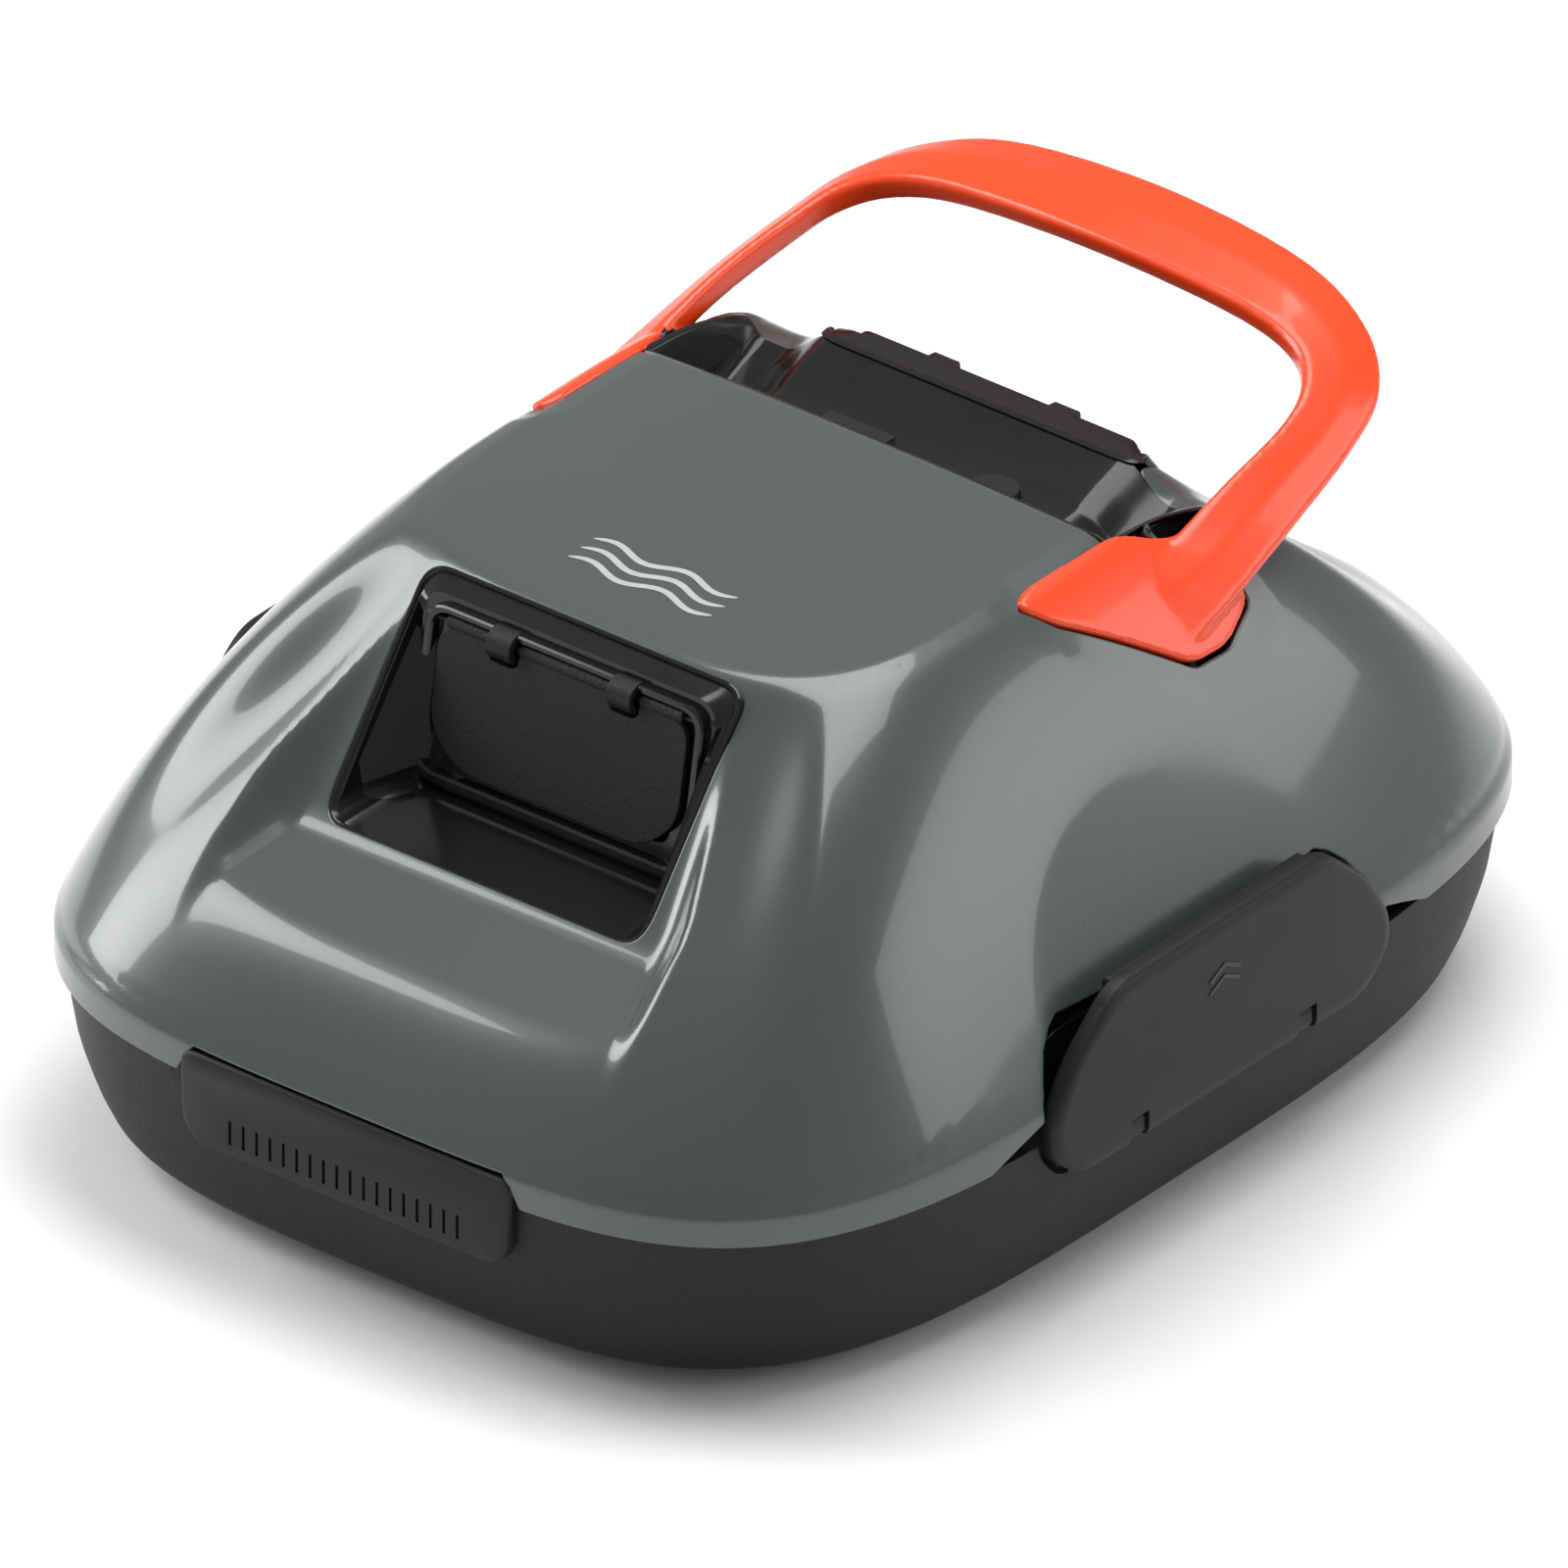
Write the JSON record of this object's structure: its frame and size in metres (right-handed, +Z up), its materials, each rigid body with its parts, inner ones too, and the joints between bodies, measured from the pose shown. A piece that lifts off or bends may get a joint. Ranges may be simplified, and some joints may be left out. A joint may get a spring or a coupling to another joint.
{
  "type": "pool cleaner",
  "caption": "Cordless robotic pool cleaner with a domed shell, jet nozzles with flaps at both ends, a loop handle, side latches and a debris tray.",
  "frame": {"origin": "on the floor under the middle of the machine", "axes": "+Z up, +Y to the rear, +X to the right seen from behind the front jet"},
  "size_m": [0.331, 0.409, 0.2078],
  "materials": {
    "shell_paint": "high gloss slate grey paint",
    "gloss_black": "polished black",
    "grained_black": "fine leather grain, matte",
    "orange_paint": "gloss orange",
    "rubber": "matte rubber",
    "black_plastic": "satin black",
    "steel": "brushed",
    "white_plastic": "satin white",
    "filter_mesh": "fine nylon mesh",
    "circuit_board": "solder mask",
    "battery_wrap": "shrink wrap",
    "foam": "closed-cell foam"
  },
  "bodies": {
    "base": {"base_tray": "grained_black", "front_grip_pad": "grained_black", "rear_grip_pad": "grained_black", "front_scraper": "rubber", "rear_scraper": "rubber", "right_latch_pin": "steel", "left_latch_pin": "steel", "right_ballast": "steel", "left_ballast": "steel", "front_right_axle": "steel", "front_left_axle": "steel", "rear_right_axle": "steel", "rear_left_axle": "steel", "front_intake_pin": "steel", "rear_intake_pin": "steel"},
    "upper_body": {"top_shell": "shell_paint", "deck_cover": "gloss_black", "front_nozzle": "gloss_black", "rear_nozzle": "gloss_black", "front_flap_pin": "black_plastic", "rear_flap_pin": "black_plastic", "handle": "orange_paint", "right_handle_screw_1": "steel", "right_handle_screw_2": "steel", "left_handle_screw_1": "steel", "left_handle_screw_2": "steel", "charge_port": "black_plastic", "status_light": "white_plastic", "motor_housing": "black_plastic", "housing_seal": "rubber", "housing_lid": "black_plastic", "lid_screw_1": "steel", "lid_screw_2": "steel", "lid_screw_3": "steel", "lid_screw_4": "steel", "battery_pack": "battery_wrap", "control_board": "circuit_board", "front_motor": "steel", "rear_motor": "steel", "front_shaft_seal": "rubber", "rear_shaft_seal": "rubber", "filter_frame": "white_plastic", "filter_screen": "filter_mesh", "right_float": "foam", "left_float": "foam"},
    "front_flap": {"front_flap": "grained_black"},
    "rear_flap": {"rear_flap": "grained_black"},
    "power_button": {"power_button": "rubber"},
    "charge_plug": {"charge_plug": "rubber"},
    "front_propeller": {"front_propeller": "white_plastic"},
    "rear_propeller": {"rear_propeller": "white_plastic"},
    "right_latch": {"right_latch": "grained_black"},
    "left_latch": {"left_latch": "grained_black"},
    "front_intake_flap": {"front_intake_flap": "rubber"},
    "rear_intake_flap": {"rear_intake_flap": "rubber"},
    "front_right_wheel": {"front_right_wheel": "rubber"},
    "front_left_wheel": {"front_left_wheel": "rubber"},
    "rear_right_wheel": {"rear_right_wheel": "rubber"},
    "rear_left_wheel": {"rear_left_wheel": "rubber"}
  },
  "joints": [
    {"name": "upper_body_lift", "type": "slide", "parent": "base", "child": "upper_body", "axis": [0, 0, 1], "range_m": [0, 0.15]},
    {"name": "right_latch_hinge", "type": "hinge", "parent": "base", "child": "right_latch", "pos_m": [0.162, 0, 0.051], "axis": [0, 1, 0], "range_deg": [0, 60]},
    {"name": "left_latch_hinge", "type": "hinge", "parent": "base", "child": "left_latch", "pos_m": [-0.162, 0, 0.051], "axis": [0, -1, 0], "range_deg": [0, 60]},
    {"name": "front_flap_hinge", "type": "hinge", "parent": "upper_body", "child": "front_flap", "pos_m": [0, -0.1, 0.173], "axis": [-1, 0, 0], "range_deg": [0, 65]},
    {"name": "rear_flap_hinge", "type": "hinge", "parent": "upper_body", "child": "rear_flap", "pos_m": [0, 0.1, 0.173], "axis": [1, 0, 0], "range_deg": [0, 65]},
    {"name": "front_propeller_spin", "type": "hinge", "parent": "upper_body", "child": "front_propeller", "pos_m": [0, -0.0715, 0.14], "axis": [0, 1, 0], "continuous": true},
    {"name": "rear_propeller_spin", "type": "hinge", "parent": "upper_body", "child": "rear_propeller", "pos_m": [0, 0.0715, 0.14], "axis": [0, 1, 0], "continuous": true},
    {"name": "power_button_press", "type": "slide", "parent": "upper_body", "child": "power_button", "axis": [0, 0, -1], "range_m": [0, 0.0015], "stiffness_N_per_m": 400},
    {"name": "charge_plug_pull", "type": "slide", "parent": "upper_body", "child": "charge_plug", "axis": [0, 0, 1], "range_m": [0, 0.014]},
    {"name": "front_intake_flap_hinge", "type": "hinge", "parent": "base", "child": "front_intake_flap", "pos_m": [0, -0.0182, 0.0286], "axis": [1, 0, 0], "range_deg": [0, 75]},
    {"name": "rear_intake_flap_hinge", "type": "hinge", "parent": "base", "child": "rear_intake_flap", "pos_m": [0, 0.0182, 0.0286], "axis": [-1, 0, 0], "range_deg": [0, 75]},
    {"name": "front_right_wheel_spin", "type": "hinge", "parent": "base", "child": "front_right_wheel", "pos_m": [0.112, -0.118, 0.014], "axis": [1, 0, 0], "continuous": true},
    {"name": "front_left_wheel_spin", "type": "hinge", "parent": "base", "child": "front_left_wheel", "pos_m": [-0.112, -0.118, 0.014], "axis": [1, 0, 0], "continuous": true},
    {"name": "rear_right_wheel_spin", "type": "hinge", "parent": "base", "child": "rear_right_wheel", "pos_m": [0.112, 0.118, 0.014], "axis": [1, 0, 0], "continuous": true},
    {"name": "rear_left_wheel_spin", "type": "hinge", "parent": "base", "child": "rear_left_wheel", "pos_m": [-0.112, 0.118, 0.014], "axis": [1, 0, 0], "continuous": true}
  ]
}
